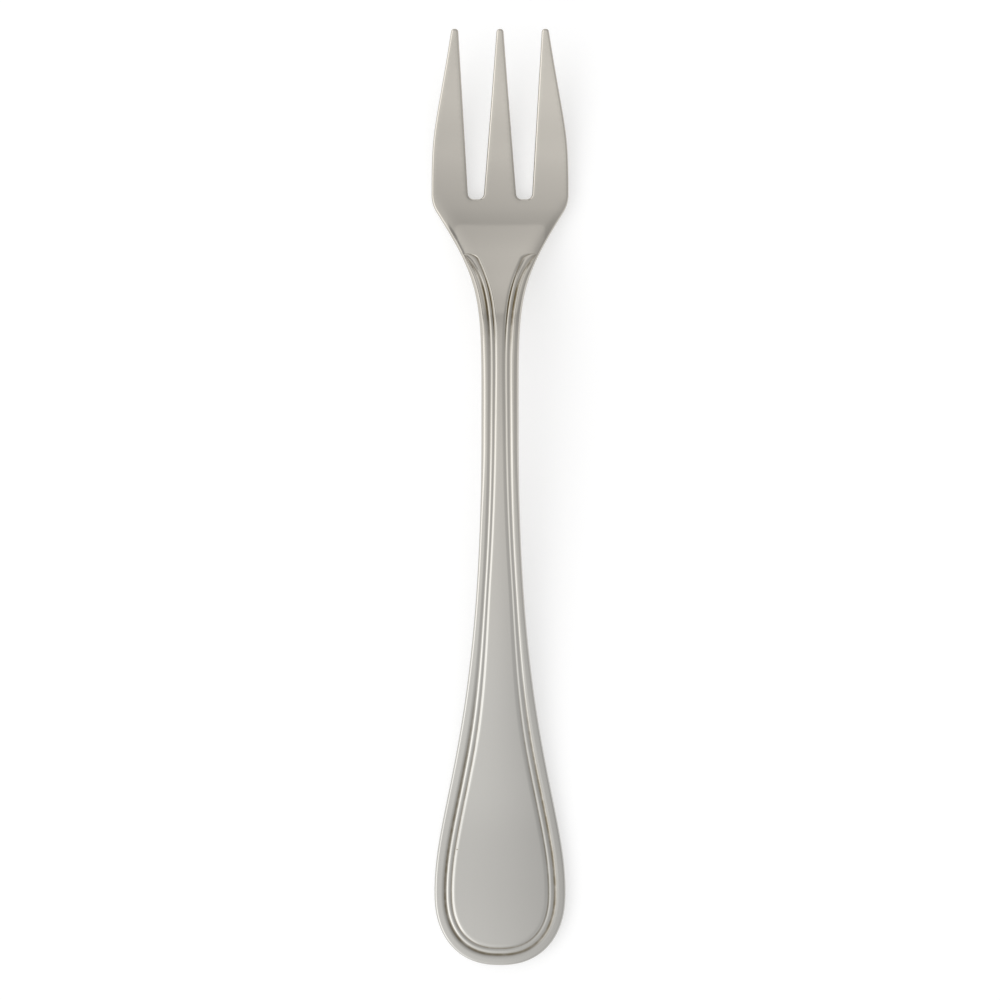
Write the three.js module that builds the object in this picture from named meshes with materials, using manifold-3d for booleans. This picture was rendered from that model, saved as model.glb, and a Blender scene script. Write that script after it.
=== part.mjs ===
// Cocktail fork, stamped and polished from one metal blank, lying on a table with its tines up.
// Millimetres, +Z up, +Y towards the tine tips. The origin is on the table under the fork's middle.
// The skin is one loft from the handle end to the tips, and one comb-shaped cut frees the tines.

import * as THREE from "three";
import { mergeVertices } from "three/addons/utils/BufferGeometryUtils.js";
import Module from "manifold-3d";

// Plan of the blank
const LENGTH = 146; // handle end to tine tips
const HANDLE_WIDTH = 20.6; // widest part of the handle
const HANDLE_END = 11.5; // handle end to its widest part
const HANDLE_FULLNESS = 2.3; // power of the handle end's superellipse: 2 is an ellipse, more is blunter
const STEM_WIDTH = 5.8; // narrowest part of the stem
const NECK_LENGTH = 36; // narrowest part of the stem to the shoulder corners
const HEAD_WIDTH = 21.5; // across the shoulders
const HEAD_LENGTH = 26.6; // shoulder corners to tine tips
const SHOULDER_SLOPE = 32; // degrees between a sloping shoulder and the fork's length
const SHOULDER_ROUND = 5; // radius of the shoulder corners

// Fullness of the outline's curves, each a share of its own stretch
const HANDLE_HOLD = 0.19; // handle keeps its width above the widest part
const STEM_HOLD = 0.66; // stem keeps its width towards the handle
const NECK_HOLD = 0.575; // stem keeps its width towards the head
const SHOULDER_HOLD = 0.35; // shoulder keeps its slope down to the neck
const HEAD_HOLD = 0.42; // head keeps its width above the shoulders
const TINE_HOLD = 0.62; // outer tine keeps its lean down from the tip
const TINE_LEAN = 10; // degrees that an outer tine's outer edge leans in at the tip

// Tines
const TINE_LENGTH = 25.8; // slot floor to tips
const CENTRE_TINE_WIDTH = 5.2; // at the slot floor
const SLOT_WIDTH = 2.4; // at the slot floor
const SLOT_CORNER = 0.9; // radius of the slot floor's corners
const SLOT_CORNER_SHARE = 0.45; // most of the slot's width that one corner may take
const TIP_WIDTH = 1.05; // across each rounded tip
const TIP_SPREAD = 14; // between the outer tines' tip centres

// Side view, measured on the middle line of the underside
const REST_LENGTH = 20; // handle end that lies flat on the table
const ARCH_HEIGHT = 6.5; // highest part of the stem above the table
const ARCH_TO_BELLY = 22; // highest part of the stem to the belly
const BELLY_TO_TIPS = 27; // belly, which touches the table, to the tine tips
const TIP_HEIGHT = 8; // tine tips above the table
const TIP_PITCH = 29; // degrees that the tips point up

// Thickness on the middle line, and how far each face falls or rises from there to its edges
const HANDLE_THICKNESS = 2.3;
const STEM_THICKNESS = 3.5;
const HEAD_THICKNESS = 2.1;
const TIP_THICKNESS = 1.1;
const HANDLE_CROWN = 0.4; // top of the handle is domed
const STEM_CROWN = 0.1; // top of the stem is domed
const STEM_BACK_CROWN = 0.9; // back of the stem is rounded
const HEAD_DISH = 0.2; // head is dished, the same on both faces
const EDGE_RADIUS = 0.6;
const EDGE_SHARE = 0.3; // most of the edge's thickness that one rounding may take

// Thread border: a plain rim, then two grooves that leave one fine thread standing between them
const RIM_WIDTH = 1.4; // on the handle
const GROOVE_WIDTH = 0.975; // on the handle, each
const GROOVE_DEPTH = 0.2; // on the handle
const STEM_GROOVE_DEPTH = 0.1;
const NECK_GROOVE_DEPTH = 0.34; // where the border is struck deepest
const STOP_GROOVE_DEPTH = 0.18; // where the grooves start to turn out to the edge
const STEM_FIELD = 1.1; // width left plain between the two borders on the stem
const BORDER_STOP = 8.2; // shoulder corners down to where the border dies out
const NECK_RUN = 6.6; // deepest part of the border to where it dies out
const NECK_RISE = 10; // length over which the border deepens towards the neck
const RIM_CLOSING = 5.5; // length over which the rim narrows before it dies out
const GROOVE_CLOSING = 1.5; // length over which the grooves turn out to the edge
const ROWS_LEAST = 0.12; // share of the row spacing kept where the border has died out
const ROWS_OPENING = 8; // length over which the rows spread again on the head

// Facets
const TAIL_STEPS = 14;
const FLANK_STEPS = 28;
const NECK_STEPS = 22;
const TURN_STEPS = 6;
const SHOULDER_STEPS = 6;
const CORNER_STEPS = 3;
const HEAD_STEPS = 12;
const GROOVE_STEPS = 4;
const ROUND_STEPS = 3;
const FIELD_STEPS = 4;
const BACK_STEPS = 4;
const ARC_STEPS = 6;
const HALVINGS = 40; // to find a height on a curve
const SAME_POINT = 1e-5; // points of the skin that are closer than this are one

// Places along the fork
const TAIL_Y = -LENGTH / 2;
const TIP_Y = LENGTH / 2;
const WIDEST_Y = TAIL_Y + HANDLE_END;
const SHOULDER_Y = TIP_Y - HEAD_LENGTH;
const WAIST_Y = SHOULDER_Y - NECK_LENGTH;
const SLOT_Y = TIP_Y - TINE_LENGTH;
const REST_Y = TAIL_Y + REST_LENGTH;
const BELLY_Y = TIP_Y - BELLY_TO_TIPS;
const ARCH_Y = BELLY_Y - ARCH_TO_BELLY;
const BORDER_Y = SHOULDER_Y - BORDER_STOP;
const DEEPEST_Y = BORDER_Y - NECK_RUN;
const TIP_RADIUS = TIP_WIDTH / 2;
const TIP_ROUND_Y = TIP_Y - TIP_RADIUS;

const { degToRad, clamp, lerp } = THREE.MathUtils;

// A smooth curve through stations of [y, value, slope], level beyond its ends.
function profile(stations) {
  return (y) => {
    const held = clamp(y, stations[0][0], stations.at(-1)[0]);
    const next = Math.max(1, stations.findIndex((station) => station[0] >= held));
    const [y0, v0, s0 = 0] = stations[next - 1];
    const [y1, v1, s1 = 0] = stations[next];
    const span = y1 - y0;
    const t = (held - y0) / span;
    const u = 1 - t;
    return v0 * u * u * (1 + 2 * t) + v1 * t * t * (3 - 2 * t) + span * t * u * (s0 * u - s1 * t);
  };
}

const underside = profile([
  [REST_Y, 0],
  [ARCH_Y, ARCH_HEIGHT],
  [BELLY_Y, 0],
  [TIP_Y, TIP_HEIGHT, Math.tan(degToRad(TIP_PITCH))],
]);
const thickness = profile([
  [WIDEST_Y, HANDLE_THICKNESS],
  [ARCH_Y, STEM_THICKNESS],
  [SLOT_Y, HEAD_THICKNESS],
  [TIP_Y, TIP_THICKNESS],
]);
const topCrown = profile([
  [WIDEST_Y, HANDLE_CROWN],
  [WAIST_Y, STEM_CROWN],
  [SHOULDER_Y, -HEAD_DISH],
]);
const backCrown = profile([
  [REST_Y, 0],
  [WAIST_Y, STEM_BACK_CROWN],
  [SHOULDER_Y, HEAD_DISH],
]);

// Size of the border along the fork: whole on the handle, and on the stem what its plain field leaves.
const handleBorder = RIM_WIDTH - EDGE_RADIUS + 2 * GROOVE_WIDTH;
const stemBorder = (STEM_WIDTH - STEM_FIELD) / 2 - EDGE_RADIUS;
const borderSize = profile([
  [WIDEST_Y, 1],
  [WAIST_Y, stemBorder / handleBorder],
]);
const grooveDepth = profile([
  [WIDEST_Y, GROOVE_DEPTH],
  [DEEPEST_Y - NECK_RISE, STEM_GROOVE_DEPTH],
  [DEEPEST_Y, NECK_GROOVE_DEPTH],
  [BORDER_Y - GROOVE_CLOSING, STOP_GROOVE_DEPTH],
]);
// On the shoulders the rim narrows to nothing and the grooves turn out to the edge in a quarter ellipse.
const rimOpen = profile([
  [BORDER_Y - RIM_CLOSING, 1],
  [BORDER_Y, 0],
]);
function grooveOpen(y) {
  const turned = clamp((y - BORDER_Y + GROOVE_CLOSING) / GROOVE_CLOSING, 0, 1);
  return Math.sqrt(1 - turned * turned);
}
// The rows of the skin stay a little apart there, and spread again on the head.
const rowsOpen = profile([
  [BORDER_Y, ROWS_LEAST],
  [BORDER_Y + ROWS_OPENING, 1],
]);

// The right half of the handle end, from the middle line round to the widest part.
class HandleEnd extends THREE.Curve {
  getPoint(t, target = new THREE.Vector2()) {
    const angle = (t * Math.PI) / 2;
    const power = 2 / HANDLE_FULLNESS;
    const x = (HANDLE_WIDTH / 2) * Math.sin(angle) ** power;
    return target.set(x, WIDEST_Y - HANDLE_END * Math.cos(angle) ** power);
  }
}

// Even steps from one share of a curve to another.
function evenly(steps, start = 0, end = 1) {
  return Array.from({ length: steps + 1 }, (_, i) => lerp(start, end, i / steps));
}

// The share of a rising curve at which it reaches a height, found by halving.
function shareAt(curve, y) {
  let low = 0;
  let high = 1;
  for (let i = 0; i < HALVINGS; i++) {
    const middle = (low + high) / 2;
    if (curve.getPoint(middle).y < y) low = middle;
    else high = middle;
  }
  return low;
}

// Steps along the neck, closer and closer together where the grooves turn out to the edge.
function neckSteps(neck) {
  const turns = evenly(TURN_STEPS, 0, Math.PI / 2).map((turn) =>
    shareAt(neck, BORDER_Y - GROOVE_CLOSING * (1 - Math.sin(turn))),
  );
  const before = evenly(NECK_STEPS, 0, turns[0]);
  const after = evenly(SHOULDER_STEPS, turns.at(-1), 1);
  return [...before, ...turns.slice(1), ...after.slice(1)];
}

// Half of the plan outline, from the handle end up the right side to the tip of the outer tine, as curves
// with the steps to take along each.
function halfOutline() {
  const shoulder = new THREE.Vector2(HEAD_WIDTH / 2, SHOULDER_Y);
  const slope = new THREE.Vector2(Math.sin(degToRad(SHOULDER_SLOPE)), Math.cos(degToRad(SHOULDER_SLOPE)));
  const widest = new THREE.Vector2(HANDLE_WIDTH / 2, WIDEST_Y);
  const waist = new THREE.Vector2(STEM_WIDTH / 2, WAIST_Y);
  const cornerReach = SHOULDER_ROUND * Math.tan(degToRad(SHOULDER_SLOPE) / 2);
  const cornerStart = shoulder.clone().addScaledVector(slope, -cornerReach);
  const cornerEnd = shoulder.clone().setY(SHOULDER_Y + cornerReach);
  const cornerX = shoulder.x - SHOULDER_ROUND;
  const tip = new THREE.Vector2(TIP_SPREAD / 2 + TIP_RADIUS, TIP_ROUND_Y);
  const flankSpan = WAIST_Y - WIDEST_Y;
  const neckSpan = cornerStart.y - WAIST_Y;
  const headSpan = tip.y - cornerEnd.y;
  const above = (point, rise) => new THREE.Vector2(point.x, point.y + rise);

  const shoulderDrop = SHOULDER_HOLD * neckSpan;
  const shoulderHandle = cornerStart.clone().addScaledVector(slope, -shoulderDrop / slope.y);
  const tipDrop = TINE_HOLD * headSpan;
  const tipHandle = above(tip, -tipDrop);
  tipHandle.x += tipDrop * Math.tan(degToRad(TINE_LEAN));

  const neckHandle = above(waist, NECK_HOLD * neckSpan);
  const neck = new THREE.CubicBezierCurve(waist, neckHandle, shoulderHandle, cornerStart);

  return [
    [new HandleEnd(), evenly(TAIL_STEPS)],
    [
      new THREE.CubicBezierCurve(
        widest,
        above(widest, HANDLE_HOLD * flankSpan),
        above(waist, -STEM_HOLD * flankSpan),
        waist,
      ),
      evenly(FLANK_STEPS),
    ],
    [neck, neckSteps(neck)],
    [
      new THREE.ArcCurve(cornerX, cornerEnd.y, SHOULDER_ROUND, -degToRad(SHOULDER_SLOPE), 0),
      evenly(CORNER_STEPS),
    ],
    [
      new THREE.CubicBezierCurve(cornerEnd, above(cornerEnd, HEAD_HOLD * headSpan), tipHandle, tip),
      evenly(HEAD_STEPS),
    ],
    [new THREE.LineCurve(tip, tip.clone().setY(TIP_Y)), evenly(1)],
  ];
}

// Stations along the half outline. Each has its edge point and the way in from the edge: square to the
// outline round the handle end, and straight across the fork above it, lengthened where the side slopes.
function stationsAlong(outline) {
  const stations = [];
  for (const [curve, steps] of outline) {
    for (const step of stations.length ? steps.slice(1) : steps) {
      const edge = curve.getPoint(step);
      const along = curve.getTangent(step);
      const square = new THREE.Vector2(-along.y, along.x);
      const across = new THREE.Vector2(-1 / along.y, 0);
      stations.push({ edge, inward: edge.y < WIDEST_Y ? square : across });
    }
  }
  stations[0].edge.x = 0;
  stations[0].inward.set(0, 1);
  return stations;
}

// How far a point lies from the middle line towards the edge, squared: 0 to 1, or a little more round the
// handle end.
function outwardShare(x, y, halfWidth) {
  if (y >= WIDEST_Y) return (x / halfWidth) ** 2;
  return (x / (HANDLE_WIDTH / 2)) ** 2 + ((WIDEST_Y - y) / HANDLE_END) ** 2;
}

// The right half of one section, from the middle of the top out to the edge, and back under to the middle.
function halfSection({ edge, inward }) {
  const at = (inset) => edge.clone().addScaledVector(inward, inset);
  const topAt = (x, y) => underside(y) + thickness(y) - topCrown(y) * outwardShare(x, y, edge.x);
  const backAt = (x, y) => underside(y) + backCrown(y) * outwardShare(x, y, edge.x);
  const edgeThickness = topAt(edge.x, edge.y) - backAt(edge.x, edge.y);
  const round = Math.min(EDGE_RADIUS, EDGE_SHARE * edgeThickness);
  const size = borderSize(edge.y);
  const rim = round + size * (RIM_WIDTH - EDGE_RADIUS) * Math.max(rimOpen(edge.y), rowsOpen(edge.y));
  const groove = size * GROOVE_WIDTH * Math.max(grooveOpen(edge.y), rowsOpen(edge.y));
  const depth = grooveDepth(edge.y) * grooveOpen(edge.y);
  const fieldEdge = at(rim + 2 * groove);
  const section = [];
  const push = (point, z) => section.push(new THREE.Vector3(point.x, point.y, z));
  const acrossTo = (target, share) => new THREE.Vector2(lerp(0, target.x, share), target.y);

  for (let i = 0; i < FIELD_STEPS; i++) {
    const point = acrossTo(fieldEdge, i / FIELD_STEPS);
    push(point, topAt(point.x, point.y));
  }
  for (let i = 2 * GROOVE_STEPS; i >= 0; i--) {
    const turns = i / GROOVE_STEPS;
    const point = at(rim + groove * turns);
    push(point, topAt(point.x, point.y) - (depth / 2) * (1 - Math.cos(2 * Math.PI * turns)));
  }
  for (let i = 0; i <= ROUND_STEPS; i++) {
    const angle = ((i / ROUND_STEPS) * Math.PI) / 2;
    const point = at(round * (1 - Math.sin(angle)));
    push(point, topAt(point.x, point.y) - round * (1 - Math.cos(angle)));
  }
  for (let i = ROUND_STEPS; i >= 0; i--) {
    const angle = ((i / ROUND_STEPS) * Math.PI) / 2;
    const point = at(round * (1 - Math.sin(angle)));
    push(point, backAt(point.x, point.y) + round * (1 - Math.cos(angle)));
  }
  const backEdge = at(round);
  for (let i = BACK_STEPS - 1; i >= 0; i--) {
    const point = acrossTo(backEdge, i / BACK_STEPS);
    push(point, backAt(point.x, point.y));
  }
  return section;
}

// A whole section as a ring: the right half, then its mirror image without the two middle points.
function ringOf(station) {
  const right = halfSection(station);
  const left = right.slice(1, -1).reverse();
  return right.concat(left.map((point) => new THREE.Vector3(-point.x, point.y, point.z)));
}

// Closes a run of equal rings into one skin. The first ring is folded flat, and the last is capped.
function loft(rings) {
  const count = rings[0].length;
  const positions = rings.flat().flatMap((point) => point.toArray());
  const index = [];
  for (let r = 0; r + 1 < rings.length; r++) {
    for (let i = 0; i < count; i++) {
      const a = r * count + i;
      const b = r * count + ((i + 1) % count);
      index.push(a, b, a + count, b, b + count, a + count);
    }
  }
  const first = (rings.length - 1) * count;
  const outline = rings.at(-1).map((point) => new THREE.Vector2(point.x, point.z));
  for (const [a, b, c] of THREE.ShapeUtils.triangulateShape(outline, [])) {
    index.push(first + a, first + c, first + b);
  }
  const geometry = new THREE.BufferGeometry();
  geometry.setAttribute("position", new THREE.Float32BufferAttribute(positions, 3));
  return geometry.setIndex(index);
}

// The space between the tines and round their tips, as one comb.
function combShape() {
  const slotInner = CENTRE_TINE_WIDTH / 2;
  const slotOuter = slotInner + SLOT_WIDTH;
  const outside = HEAD_WIDTH;
  const corner = Math.min(SLOT_CORNER, SLOT_CORNER_SHARE * SLOT_WIDTH);
  const tips = [-TIP_SPREAD / 2, 0, TIP_SPREAD / 2];
  const slots = [
    [-slotOuter, -slotInner],
    [slotInner, slotOuter],
  ];
  const comb = new THREE.Shape();
  comb.moveTo(-outside, TIP_ROUND_Y);
  tips.forEach((tip, i) => {
    comb.absarc(tip, TIP_ROUND_Y, TIP_RADIUS, Math.PI, 0, true);
    if (i === slots.length) return;
    const [left, right] = slots[i];
    comb.absarc(left + corner, SLOT_Y + corner, corner, Math.PI, 1.5 * Math.PI, false);
    comb.absarc(right - corner, SLOT_Y + corner, corner, -Math.PI / 2, 0, false);
  });
  comb.lineTo(outside, TIP_ROUND_Y);
  comb.lineTo(outside, TIP_Y + TIP_WIDTH);
  comb.lineTo(-outside, TIP_Y + TIP_WIDTH);
  return comb;
}

function combCutter() {
  const clear = TIP_THICKNESS;
  const height = TIP_HEIGHT + TIP_THICKNESS + HEAD_DISH + 2 * clear;
  const cutter = new THREE.ExtrudeGeometry(combShape(), {
    depth: height,
    bevelEnabled: false,
    curveSegments: ARC_STEPS,
  });
  return cutter.translate(0, 0, -clear);
}

const wasm = await Module();
wasm.setup();

// A closed geometry as a solid, with its shared points merged and the triangles that collapsed left out.
function solidOf(geometry) {
  geometry.deleteAttribute("normal");
  geometry.deleteAttribute("uv");
  const merged = mergeVertices(geometry, SAME_POINT);
  const triangles = [];
  for (let i = 0; i < merged.index.count; i += 3) {
    const [a, b, c] = merged.index.array.slice(i, i + 3);
    if (a !== b && b !== c && c !== a) triangles.push(a, b, c);
  }
  const mesh = new wasm.Mesh({
    numProp: 3,
    vertProperties: merged.attributes.position.array,
    triVerts: new Uint32Array(triangles),
  });
  return new wasm.Manifold(mesh);
}

function geometryOf(solid) {
  const { vertProperties, triVerts } = solid.getMesh();
  const geometry = new THREE.BufferGeometry();
  geometry.setAttribute("position", new THREE.BufferAttribute(vertProperties, 3));
  geometry.setIndex(new THREE.BufferAttribute(triVerts, 1));
  geometry.computeVertexNormals();
  return geometry;
}

const polishedSteel = new THREE.MeshStandardMaterial({ color: 0xb8b5ae, metalness: 1, roughness: 0.16 });

const blank = solidOf(loft(stationsAlong(halfOutline()).map(ringOf)));
const fork = new THREE.Mesh(geometryOf(blank.subtract(solidOf(combCutter()))), polishedSteel);
fork.name = "cocktail_fork";

const part = new THREE.Group();
part.add(fork);

export default part;
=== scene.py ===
"""Cocktail fork: the looks of one polished steel fork on a pale table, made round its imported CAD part."""

import math

import bpy
import numpy as np
from bpy.props import FloatProperty, FloatVectorProperty, PointerProperty
from mathutils.geometry import delaunay_2d_cdt
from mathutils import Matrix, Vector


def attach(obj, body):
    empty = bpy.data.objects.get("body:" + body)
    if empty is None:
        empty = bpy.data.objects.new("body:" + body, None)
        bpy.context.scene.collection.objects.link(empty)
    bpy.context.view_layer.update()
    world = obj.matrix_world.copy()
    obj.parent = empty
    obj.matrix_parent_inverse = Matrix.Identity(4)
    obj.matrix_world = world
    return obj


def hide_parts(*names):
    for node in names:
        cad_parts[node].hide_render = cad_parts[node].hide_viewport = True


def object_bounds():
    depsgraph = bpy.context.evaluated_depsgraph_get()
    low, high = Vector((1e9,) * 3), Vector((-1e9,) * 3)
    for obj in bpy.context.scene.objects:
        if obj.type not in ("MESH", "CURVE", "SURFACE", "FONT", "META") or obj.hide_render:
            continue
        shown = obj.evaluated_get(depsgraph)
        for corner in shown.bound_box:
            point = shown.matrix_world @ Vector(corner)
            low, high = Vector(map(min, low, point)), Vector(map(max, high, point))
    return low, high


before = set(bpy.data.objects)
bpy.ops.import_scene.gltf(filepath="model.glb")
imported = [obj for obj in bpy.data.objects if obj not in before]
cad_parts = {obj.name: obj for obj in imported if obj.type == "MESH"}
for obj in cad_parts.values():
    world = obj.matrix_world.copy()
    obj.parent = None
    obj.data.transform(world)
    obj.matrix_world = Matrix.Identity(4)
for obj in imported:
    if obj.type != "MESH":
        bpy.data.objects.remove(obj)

bl_info = {
    "name": "Cocktail Fork",
    "version": (1, 0, 0),
    "blender": (4, 5, 0),
    "location": "3D View > Sidebar > Fork",
    "description": "Makes a polished cocktail fork with a thread border, and the table that it lies on",
    "category": "Object",
}

MM = 0.001
CAD_LOW, CAD_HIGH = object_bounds()
CAD_NODE = "cocktail_fork"
TAIL_Y = CAD_LOW.y
TIP_Y = CAD_HIGH.y

# Attributes that the fork's skin carries
ACROSS = "across_border"
STRENGTH = "border_strength"
GRIME = "border_grime"
TARNISH = "tarnish"


def size(name, description, millimetres):
    """A length that a user may change, given in millimetres."""
    return FloatProperty(
        name=name,
        description=description,
        default=millimetres * MM,
        subtype="DISTANCE",
        unit="LENGTH",
        precision=5,
    )


def share(name, description, default):
    """A part of a whole, from 0 to 1."""
    return FloatProperty(
        name=name,
        description=description,
        default=default,
        min=0,
        max=1,
        subtype="FACTOR",
    )


def slant(name, description, degrees):
    """An angle that a user may change, given in degrees."""
    return FloatProperty(name=name, description=description, default=math.radians(degrees), subtype="ANGLE")


def amount(name, description, default):
    """A plain number that a user may change."""
    return FloatProperty(name=name, description=description, default=default, precision=4)


def colour(name, description, default):
    """A linear colour that a user may change."""
    return FloatVectorProperty(name=name, description=description, default=default, size=3, subtype="COLOR")


class ForkPlan(bpy.types.PropertyGroup):
    """The fork's outline from above. Its length and head width come from the CAD part."""

    handle_width: size("Handle width", "Widest part of the handle", 20.6)
    handle_end: size("Handle end", "Handle end to its widest part", 11.5)
    handle_fullness: amount("Handle fullness", "Bluntness of the handle end, where 2 is an ellipse", 2.3)
    stem_width: size("Stem width", "Narrowest part of the stem", 5.8)
    neck_length: size("Neck length", "Narrowest part of the stem to the shoulder corners", 36)
    head_length: size("Head length", "Shoulder corners to the tine tips", 26.6)
    shoulder_slope: slant("Shoulder slope", "Between a shoulder and the fork's length", 32)
    shoulder_round: size("Shoulder round", "Radius of the shoulder corners", 5)
    handle_hold: share("Handle hold", "How far the handle keeps its width", 0.19)
    stem_hold: share("Stem hold", "How far the stem keeps its width towards the handle", 0.66)
    neck_hold: share("Neck hold", "How far the stem keeps its width towards the head", 0.575)
    shoulder_hold: share("Shoulder hold", "How far the shoulder keeps its slope", 0.35)
    head_hold: share("Head hold", "How far the head keeps its width", 0.42)
    tine_hold: share("Tine hold", "How far an outer tine keeps its lean", 0.62)
    tine_lean: slant("Tine lean", "Lean of an outer tine's outer edge at the tip", 10)
    tine_length: size("Tine length", "Slot floor to the tips", 25.8)
    centre_tine_width: size("Centre tine width", "Centre tine at the slot floor", 5.2)
    slot_width: size("Slot width", "Slot between two tines at its floor", 2.4)
    slot_corner: size("Slot corner", "Radius of the slot floor's corners", 0.9)
    tip_width: size("Tip width", "Across each tine tip", 1.05)
    tip_corner: size("Tip corner", "Radius of a tip's corners", 0.48)
    tip_spread: size("Tip spread", "Between the middles of the outer tips", 14)


class ForkSide(bpy.types.PropertyGroup):
    """The fork's heights and thicknesses, measured on its middle line."""

    rest_length: size("Rest length", "Handle end that lies flat on the table", 20)
    arch_height: size("Arch height", "Highest part of the stem's back above the table", 6.5)
    arch_to_belly: size("Arch to belly", "Highest part of the stem to the belly", 20.5)
    belly_to_tips: size("Belly to tips", "Belly, which touches the table, to the tine tips", 27)
    tip_height: size("Tip height", "Back of the tine tips above the table", 8)
    tip_pitch: slant("Tip pitch", "How far the tips point up", 29)
    handle_thickness: size("Handle thickness", "Middle of the handle", 2.3)
    stem_thickness: size("Stem thickness", "Middle of the stem at its highest part", 3.5)
    head_thickness: size("Head thickness", "Middle of the head at the slot floors", 2.1)
    tip_thickness: size("Tip thickness", "Tine tips", 1.1)
    handle_crown: size("Handle crown", "How far the handle's top falls to its edges", 0.4)
    tail_fall: size("Tail fall", "How far the handle's top falls to its end", 0.12)
    stem_crown: size("Stem crown", "How far the stem's top falls to its edges", 0.1)
    stem_back_crown: size("Stem back crown", "How far the stem's back rises to its edges", 0.9)
    head_dish: size("Head dish", "How far the head's edges rise", 0.2)
    shoulder_fall: size("Shoulder fall", "How far the shoulders' face falls near their edges", 0.18)
    fall_width: size("Fall width", "Width of the shoulders' face that falls to the edge", 2.2)
    lip_fall: size("Lip fall", "How much further the shoulders' face falls right beside their edges", 0.13)
    lip_width: size("Lip width", "Width of the shoulders' face that falls further", 1.1)
    handle_edge: size("Handle edge", "Rounding of the handle's edges", 0.38)
    neck_edge: size("Neck edge", "Rounding of the neck's edges", 0.75)
    head_edge: size("Head edge", "Rounding of the edges of the shoulders and the head", 0.34)
    edge_run: size("Edge run", "Length of the stem along which its edges grow rounder", 16)
    shoulder_run: size("Shoulder run", "Length of the neck's end along which its edges grow sharper", 4)
    edge_share: share("Edge share", "Most of an edge's thickness that one rounding may take", 0.3)


class ThreadBorder(bpy.types.PropertyGroup):
    """The border struck round the handle: a rim, and two grooves with a fine thread between them."""

    rim_width: size("Rim width", "Plain rim on the handle", 1.4)
    grooves_width: size("Grooves width", "Both grooves and the thread on the handle", 1.95)
    groove_depth: size("Groove depth", "Grooves on the handle", 0.16)
    handle_run: size("Handle run", "Handle end to where the border starts to narrow", 33)
    stem_run: size("Stem run", "Handle end to where the border is narrowest", 61)
    stem_border: size("Stem border", "Width of the border where it is narrowest", 2.34)
    neck_border: size("Neck border", "Width of the border at the neck", 2.75)
    stop_border: size("Stop border", "Width of the border where it turns out to the edge", 2.6)
    stem_strike: share("Stem strike", "Depth of the grooves on the stem, as a part of the handle's", 0.75)
    stop: size("Stop", "Shoulder corners down to where the border dies out", 8.2)
    rim_closing: size("Rim closing", "Length over which the rim narrows at its end", 5.5)
    rim_least: size("Rim least", "Flat of the rim where it is narrowest", 0.05)
    grooves_closing: size("Grooves closing", "Length over which the grooves turn out to the edge", 1.4)
    neck_strike: amount("Neck strike", "Depth of the grooves at the neck, as a part of the handle's", 1.65)
    neck_rise: size("Neck rise", "Length over which the border deepens towards the neck", 10)
    neck_run: size("Neck run", "Deepest part of the neck's border to where it dies out", 6.6)
    stop_strike: share("Stop strike", "Depth of the grooves where they turn out to the edge", 1.0)
    stain_run: size("Stain run", "Handle end to where the handle's tarnish has faded", 51)
    stain_fade: size("Stain fade", "Length along which the handle's tarnish fades", 24)
    stem_grime: share("Stem grime", "Tarnish in the grooves on the stem, as a part of the handle's", 0.12)
    neck_grime: amount("Neck grime", "Tarnish in the grooves at the neck, as a part of the handle's", 1.5)
    inner_grime: amount("Inner grime", "Inner groove's tarnish at the neck, as a part of the outer's", 1.9)
    stop_grime: share("Stop grime", "Tarnish in the grooves where they turn out to the edge", 0.6)


class SteelFinish(bpy.types.PropertyGroup):
    """The polished steel."""

    steel: colour("Steel", "Clean polished metal", (0.53, 0.519, 0.491))
    warm_steel: colour("Warm steel", "Metal towards the neck, a little warmer", (0.541, 0.513, 0.464))
    tarnish: colour("Tarnish", "Darkened metal in the grooves", (0.15, 0.117, 0.062))
    roughness: share("Roughness", "Polish of the open surfaces", 0.1)
    worn_roughness: share("Worn roughness", "Polish where cloths and plates have dulled it", 0.15)
    speck_spacing: size("Speck spacing", "Between the places where a tiny dark speck may lie", 6)
    speck_size: size("Speck size", "Reach of a speck from its middle", 0.16)


class StudioStage(bpy.types.PropertyGroup):
    """The table, the light and the camera."""

    table: colour("Table", "Pale table top", (0.6, 0.6, 0.6))
    table_glow: amount("Table glow", "Brightness that makes the table white in the picture", 0.49)
    light_left: amount("Light left", "Brightness of the studio to the left", 1.4)
    light_above: amount("Light above", "Brightness of the studio overhead", 0.85)
    light_right: amount("Light right", "Brightness of the studio to the right", 0.61)
    horizon: amount("Horizon", "Brightness of the studio just above the table", 1.05)
    lamp_power: amount("Lamp power", "Strength of the soft lamp on the left", 0.2)
    card: share("Card", "Darkness of the card that hangs to the left of the head", 0.6)
    lens: amount("Lens", "Focal length of the camera, in millimetres", 120)
    margin: share("Margin", "Part of the picture's height that the fork fills", 0.936)


def bezier(points, count):
    """Points along a cubic curve."""
    t = np.linspace(0, 1, count)[:, None]
    p0, p1, p2, p3 = (np.array(point, float) for point in points)
    return (1 - t) ** 3 * p0 + 3 * (1 - t) ** 2 * t * p1 + 3 * (1 - t) * t**2 * p2 + t**3 * p3


def fillet(before, corner, after, radius, count):
    """Points of the arc that rounds a corner between two straight runs."""
    into = (corner - before) / np.linalg.norm(corner - before)
    out = (after - corner) / np.linalg.norm(after - corner)
    turn = math.atan2(into[0] * out[1] - into[1] * out[0], into @ out)
    reach = radius * math.tan(abs(turn) / 2)
    start = corner - into * reach
    centre = start + math.copysign(radius, turn) * np.array((-into[1], into[0]))
    spoke = start - centre
    angles = np.linspace(0, turn, count)
    cosines, sines = np.cos(angles), np.sin(angles)
    turned = np.stack((cosines * spoke[0] - sines * spoke[1], sines * spoke[0] + cosines * spoke[1]), 1)
    return centre + turned


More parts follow.
